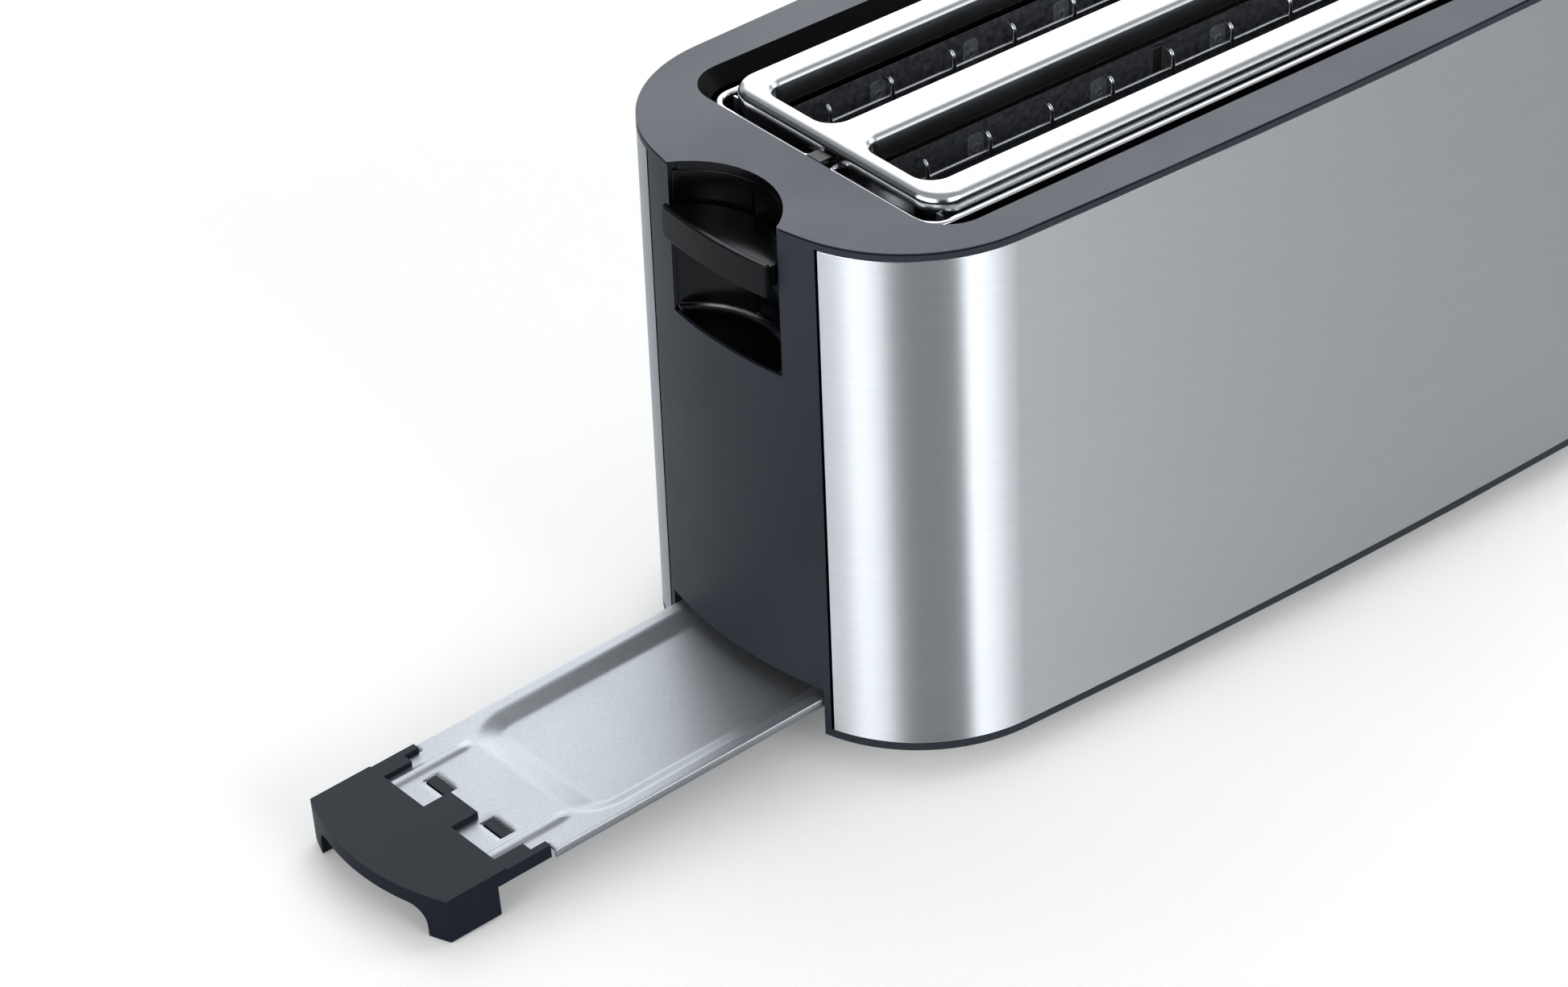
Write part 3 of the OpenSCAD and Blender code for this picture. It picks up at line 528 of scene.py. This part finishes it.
def build_casing():
    housing = softened("housing", "casing", LOOKS["end"], mm(0.4))
    # Painted shade: the housing's lip round the lever notch and its seam grooves are near black
    second_look(housing, "recess", in_notch)
    second_look(housing, "shade", in_seam)
    cover = softened("top_cover", "casing", LOOKS["cover"], mm(0.5))
    # Painted shade: the cover's cut face at the notch and its walls round the slot plate are near
    # black
    second_look(cover, "recess", in_notch)
    second_look(cover, "shade", in_opening)
    # Painted shade: the recess liner is near black, and its floor and other flat faces are darker
    # still
    recess = softened("lever_recess", "casing", LOOKS["recess"], mm(0.25))
    second_look(recess, "shade", lambda centre, normal: not is_wall(normal))
    piece("steel_panel_rear", steel_panel(), "casing",
          LOOKS["steel"], ("rear_steel_panel",))
    piece("pressed_slot_plate", slot_plate(), "casing", LOOKS["polished"],
          ("slot_plate",), crease=40)
    for node, slot, look, r in (
            ("feet", "rubber_foot", "rubber", 1.0), ("cord_gland", "dark_plastic", "dark", 0.5),
            # Painted shade: the two brackets take the near-black recess look, darker than their
            # own dark plastic
            ("bracket_lever", "dark_plastic", "recess", 0.3),
            ("bracket_far", "dark_plastic", "recess", 0.3),
            ("control_bezel", "dark_plastic", "dark", 0.4)):
        softened(node, "casing", LOOKS[look], mm(r))
    for slot_side in ("front_outer", "front_inner", "rear_inner", "rear_outer"):
        board_holder("holder_" + slot_side)
    # Painted shade: the top frame, seen through the gap round the slot plate, is nearly black
    frame["nodes"]["top_frame"].data.materials[0] = LOOKS["shade"]


# ---------- moving parts ----------

HINGES = {j["child"]: j for j in frame["joints"]}   # the joint that moves each body
# Bun rack wires by body: CAD node, and the side of the body that the wire lies on.
WIRE_RACKS = {"bun_front": ("bun_rack_front", -1), "bun_rear": ("bun_rack_rear", 1)}
BUN_PIVOT_X, BUN_BENDS = mm(140.4), mm(2.4, 8, 8, 2.4)
# Guide cages, and the direction along Y in which their tops arch over.
CAGES = {"cage_front_outer": -1, "cage_front_inner": 1,
         "cage_rear_inner": -1, "cage_rear_outer": 1}
CAGE_PITCH, CAGE_COUNT = mm(27.3), 9
CAGE_RAILS, CAGE_RAIL_OUT, CAGE_RAIL_PAST = mm(112, 181.5), mm(1.1), mm(15)
CAGE_BEND, CAGE_REACH = mm(2.6), mm(3.5)


def bun_rack(node, side, pivot_y):
    """Half of the bun rack: one bent wire whose ends turn in to the pivots."""
    low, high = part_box(node)
    r = (high.z - low.z) / 2
    z = (high.z + low.z) / 2
    far_y, end_x = side * (max(abs(low.y), abs(high.y)) - r), high.x - r
    corners = [(-BUN_PIVOT_X, pivot_y, z), (-end_x, pivot_y, z), (-end_x, far_y, z),
               (end_x, far_y, z), (end_x, pivot_y, z), (BUN_PIVOT_X, pivot_y, z)]
    bm = bmesh.new()
    tube(bm, bent(corners, BUN_BENDS, 10), r, 16)
    return bm


def cage(node, out, pivot):
    """Wire guard: uprights that arch over towards the heater, on two rails and a pivot rod."""
    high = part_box(node)[1]
    r, pivot_r = mm(0.8, 1)
    _, y, foot = pivot
    top, first = high.z - r, -CAGE_PITCH * (CAGE_COUNT - 1) / 2
    bm = bmesh.new()
    tube(bm, [(-high.x, y, foot), (high.x, y, foot)], pivot_r)
    rail_y, rail_x = y + out * CAGE_RAIL_OUT, CAGE_RAIL_PAST - first
    for z in CAGE_RAILS:
        tube(bm, [(-rail_x, rail_y, z), (rail_x, rail_y, z)], r)
    for i in range(CAGE_COUNT):
        x = first + i * CAGE_PITCH
        upright = [(x, y, foot), (x, y, top), (x, y + out * CAGE_REACH, top)]
        tube(bm, bent(upright, [CAGE_BEND]), r, 10)
    return bm


# Crumb tray, in its own sloping frame: s runs outwards along it, from the end panel's seam.
TRAY_START, TRAY_END, TRAY_HALF, TRAY_HEM = mm(-165, 150, 38.9, 3)
TRAY_PLACE = Matrix.Translation(mm(185.5, 0, 23.45)) @ Matrix.Rotation(TRAY_TILT, 4, "Y")
PAN_START, PAN_END, PAN_HALF, PAN_R = mm(-157, 97, 35, 11)
PAN_DEPTH, PAN_SLOPE, PAN_RAMP = mm(3.2, 8, 13)   # sides fall over the slope, ends over the ramp
BEAD_Y, BEAD_HIGH, BEAD_HALF, BEAD_START, BEAD_END = mm(26.5, 1, 2.8, 100, 130)
BEAD_LEAD, BEAD_RISE = mm(3, 5)
WINDOW_S, WINDOW_Y = mm(115.5, 121.5), mm(10, 21.5)
ARM_END, NECK = mm(112, 34.6)                     # past the arms' end the sheet is narrower


def ease(t, r=0.2):
    """0 to 1 with a straight middle and rounded ends."""
    t = min(1, max(0, t))
    if t < r:
        return t * t / (2 * r * (1 - r))
    if t > 1 - r:
        return 1 - (1 - t) ** 2 / (2 * r * (1 - r))
    return (t - r / 2) / (1 - r)


def tray_height(s, y):
    """Height of the pressed sheet: the sunk pan with round corners, and the two raised beads."""
    mid, half_s = (PAN_START + PAN_END) / 2, (PAN_END - PAN_START) / 2
    squeeze = PAN_SLOPE / PAN_RAMP
    dx, dy = (abs(s - mid) - half_s) * squeeze + PAN_R, abs(y) - PAN_HALF + PAN_R
    inside = PAN_R - math.hypot(max(dx, 0), max(dy, 0)) - min(max(dx, dy), 0)
    height = -PAN_DEPTH * ease(inside / PAN_SLOPE)
    along = min(1, max(0, (s - BEAD_START + BEAD_LEAD) / BEAD_RISE))
    across = 1 - abs(abs(y) - BEAD_Y) / BEAD_HALF
    if across > 0 and s > BEAD_START - BEAD_LEAD:
        height += BEAD_HIGH * along * ease(across / 0.7, 0.35)
    return height


def steps_between(marks):
    """Grid lines through the marks: (position, spacing up to the next mark)."""
    lines = []
    for (a, gap), (b, _) in zip(marks, marks[1:]):
        count = max(1, round((b - a) / gap))
        lines += [a + (b - a) * i / count for i in range(count)]
    return lines + [marks[-1][0]]


def crumb_tray():
    """One pressed sheet with hemmed edges, a sunk pan, beads and two clip windows."""
    along = steps_between([
        (TRAY_START, mm(2)), (PAN_START, mm(1)), (PAN_START + mm(22), mm(18)),
        (PAN_END - mm(24), mm(1)), (PAN_END + mm(6), mm(1.5)), (ARM_END, mm(1.75)),
        (WINDOW_S[0], mm(2)), (WINDOW_S[1], mm(2)), (BEAD_END, mm(3)), (TRAY_END, 1)])
    half = steps_between([
        (0, mm(3)), (WINDOW_Y[0], mm(2.3)), (WINDOW_Y[1], mm(0.7)), (NECK, mm(0.5)),
        (PAN_HALF, mm(1)), (TRAY_HALF - SHEET, 1)])
    across = [-y for y in reversed(half[1:])] + half
    bm = bmesh.new()
    grid = {}
    for i, s in enumerate(along):
        for j, y in enumerate(across):
            grid[i, j] = bm.verts.new((s, y, tray_height(s, y)))
    for i in range(len(along) - 1):
        for j in range(len(across) - 1):
            s, y = (along[i] + along[i + 1]) / 2, abs(across[j] + across[j + 1]) / 2
            in_window = WINDOW_S[0] < s < WINDOW_S[1] and WINDOW_Y[0] < y < WINDOW_Y[1]
            if not in_window and not (s > ARM_END and y > NECK):
                bm.faces.new((grid[i, j], grid[i + 1, j], grid[i + 1, j + 1], grid[i, j + 1]))
    hem = [(mm(0.55), mm(-0.1)), (SHEET, mm(-0.5)), (SHEET, -TRAY_HEM)]
    reach = [i for i, s in enumerate(along) if s <= ARM_END]
    for side, j in ((1, len(across) - 1), (-1, 0)):
        last = [grid[i, j] for i in reach]
        for dy, z in hem:
            new = [bm.verts.new((along[i], across[j] + side * dy, z)) for i in reach]
            for a, b, c, d in zip(last, last[1:], new[1:], new):
                bm.faces.new((a, b, c, d))
            last = new
    bmesh.ops.delete(bm, geom=[v for v in bm.verts if not v.link_faces], context="VERTS")
    bmesh.ops.recalc_face_normals(bm, faces=bm.faces)
    if sum(f.normal.z for f in bm.faces) < 0:
        bmesh.ops.reverse_faces(bm, faces=bm.faces)
    bmesh.ops.transform(bm, matrix=TRAY_PLACE, verts=bm.verts)
    return bm


def spring_coil():
    """The lever's return spring as one wire wound round the guide rod."""
    low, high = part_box("return_spring")
    wire_r, turns, steps = mm(0.6), 9, 24
    x, y = (low.x + high.x) / 2, (low.y + high.y) / 2
    r = (high.x - low.x) / 2 - wire_r
    rise = (high.z - low.z - 2 * wire_r) / (turns * steps)
    bm = bmesh.new()
    path = []
    for k in range(turns * steps + 1):
        a = 2 * math.pi * k / steps
        path.append((x + r * math.cos(a), y + r * math.sin(a), low.z + wire_r + rise * k))
    tube(bm, path, wire_r, 8)
    return bm


def build_spring():
    """The lever's return spring, as a wound coil with a mesh of its own."""
    coil = piece("return_spring_coil", spring_coil(), "casing",
                 LOOKS["polished"], ("return_spring",))
    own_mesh(coil)


def build_moving_parts():
    build_spring()
    softened("lever_knob", "carriage", LOOKS["lever"], mm(0.5))
    softened("tray_handle", "tray", LOOKS["handle"], mm(0.6))
    tray = piece("pressed_crumb_tray", crumb_tray(), "tray", LOOKS["tray"],
                 ("crumb_tray",))
    sheet = tray.modifiers.new("sheet", "SOLIDIFY")
    sheet.thickness, sheet.offset = SHEET, -1
    tray.modifiers.move(1, 0)
    for body, (node, side) in WIRE_RACKS.items():
        wire = bun_rack(node, side, HINGES[body]["pos_m"][1])
        piece(node + "_wire", wire, body, LOOKS["chrome"], (node,))
    for node, out in CAGES.items():
        body = node + "_body"
        guard = cage(node, out, HINGES[body]["pos_m"])
        piece(node + "_wires", guard, body, LOOKS["guard"], (node,))
    softened("browning_dial", "dial", LOOKS["dark"], mm(0.9))
    for key in ("stop", "defrost", "reheat"):
        softened(key + "_button", key + "_key", LOOKS["dark"], mm(0.8))


# ---------- stage ----------


# Brightness of the studio walls by compass direction, in degrees from +X towards +Y.
# They were tuned until the bands on the steel had the brightness measured in the photograph.
WALLS = (
    (-180, 0.3), (-165, 0.6), (-152, 2.4), (-138, 2.4), (-126, 3.0), (-114, 2.6), (-104, 0.5),
    (-82, 0.6), (-66, 0.05), (-38, 0.05), (-24, 2.8), (0, 4.5), (14, 9.0), (26, 7.0),
    (38, 1.0), (46, 0.0), (81, 0.0), (84, 11.0), (98, 7.5), (112, 3.6), (125, 1.2),
    (136, 0.3), (150, 1.5), (165, 4.0), (180, 0.3))
WALL_TOP = (0.30, 0.62)                  # the walls fade into the ceiling between these heights
CEILING, SOFTBOX = 0.40, 1.6
SOFTBOX_TOWARDS, SOFTBOX_EDGE = (-0.68, -0.55, 0.48), (0.5, 0.95)
BACKDROP = 1.0                           # what the camera sees behind the object
LIGHT_TINT = (0.94, 0.975, 1.02)
FLOOR_SIZE, FLOOR_CELLS = 6, 24
FLOOR_BOUNCE, FLOOR_GLOW = (0.42, 0.425, 0.43), 0.07   # mid grey in reflections, white in view


def studio():
    """Soft studio that the object mirrors: walls in sections, a ceiling and a softbox behind."""
    world = bpy.data.worlds.new("studio")
    world.use_nodes = True
    tree = world.node_tree

    def node(kind, *values, **settings):
        made = tree.nodes.new("ShaderNode" + kind)
        for key, value in settings.items():
            setattr(made, key, value)
        for socket, value in zip([i for i in made.inputs if i.enabled], values):
            if isinstance(value, bpy.types.NodeSocket):
                tree.links.new(value, socket)
            else:
                socket.default_value = value
        return made

    towards = node("TexCoord").outputs["Generated"]
    parts = node("SeparateXYZ", towards).outputs
    turn = node("Math", parts["Y"], parts["X"], operation="ARCTAN2").outputs[0]
    round_room = node("MapRange", turn, -math.pi, math.pi).outputs[0]
    ramp = node("ValToRGB", round_room)
    ramp.color_ramp.interpolation = "EASE"
    peak = max(light for _, light in WALLS)
    stops = ramp.color_ramp.elements
    while len(stops) < len(WALLS):
        stops.new(0.5)
    for stop, (angle, light) in zip(stops, WALLS):
        stop.position = (angle + 180) / 360
        stop.color = (light / peak, light / peak, light / peak, 1)
    walls = node("Math", ramp.outputs["Color"], peak, operation="MULTIPLY").outputs[0]
    facing = node("VectorMath", towards, SOFTBOX_TOWARDS, operation="DOT_PRODUCT").outputs["Value"]
    above = node("MapRange", facing, *SOFTBOX_EDGE, CEILING, CEILING + SOFTBOX,
                 interpolation_type="SMOOTHSTEP").outputs[0]
    rise = node("MapRange", parts["Z"], *WALL_TOP, interpolation_type="SMOOTHSTEP").outputs[0]
    room = node("Mix", rise, walls, above).outputs[0]
    camera_ray = node("LightPath").outputs["Is Camera Ray"]
    shown = node("Mix", camera_ray, room, BACKDROP).outputs[0]
    background = tree.nodes["Background"]
    background.inputs["Color"].default_value = (*LIGHT_TINT, 1)
    tree.links.new(shown, background.inputs["Strength"])
    return world


def make_stage():
    """The floor of white paper, and the studio around it."""
    n = Nodes("floor_paper")
    fibre = n.noise(n.place, 220, 4)
    n.shade(fibre, (0.99, 0.96, 0.92), (1.0, 0.97, 0.93))
    paper = n.tree.nodes.new("ShaderNodeMix")
    paper.data_type = "RGBA"
    rays = n.tree.nodes.new("ShaderNodeLightPath").outputs
    n.link(rays["Is Camera Ray"], paper.inputs["Factor"])
    paper.inputs["A"].default_value = (*FLOOR_BOUNCE, 1)
    n.link(n.shader.inputs["Base Color"].links[0].from_socket, paper.inputs["B"])
    n.link(paper.outputs["Result"], n.shader.inputs["Base Color"])
    n.value("Roughness", 0.9)
    n.value("Specular IOR Level", 0.1)
    n.value("Emission Color", (1, 1, 1, 1))
    n.value("Emission Strength", FLOOR_GLOW)
    n.bump(fibre, mm(0.02), 0.2)
    bm = bmesh.new()
    bmesh.ops.create_grid(bm, x_segments=FLOOR_CELLS, y_segments=FLOOR_CELLS, size=FLOOR_SIZE)
    mesh = bpy.data.meshes.new("floor")
    bm.to_mesh(mesh)
    bm.free()
    mesh.materials.append(n.material)
    floor = bpy.data.objects.new("floor", mesh)
    scene.collection.objects.link(floor)

    scene.world = studio()


# The photograph's viewpoint: sensor and lens in mm, where the lens is, its direction and roll.
SENSOR, LENS = 36, 133.23
EYE = mm(1164.19, 1277.97, 1147.02)
FORWARD, ROLL = (-0.513655, -0.658333, -0.550232), -2.409
CLIP = (0.05, 60)


def make_camera():
    """The camera at the photograph's viewing angle."""
    camera = bpy.data.cameras.new("camera")
    camera.sensor_width = SENSOR
    camera.lens = LENS
    camera.clip_start, camera.clip_end = CLIP
    obj = bpy.data.objects.new("camera", camera)
    scene.collection.objects.link(obj)
    level = Vector(FORWARD).normalized().to_track_quat("-Z", "Y")
    obj.rotation_mode = "QUATERNION"
    obj.rotation_quaternion = level @ Matrix.Rotation(math.radians(ROLL), 4, "Z").to_quaternion()
    obj.location = EYE
    scene.camera = obj


scene.view_settings.view_transform = "Standard"

make_camera()
make_stage()
dress_cad_nodes()
build_casing()
build_moving_parts()
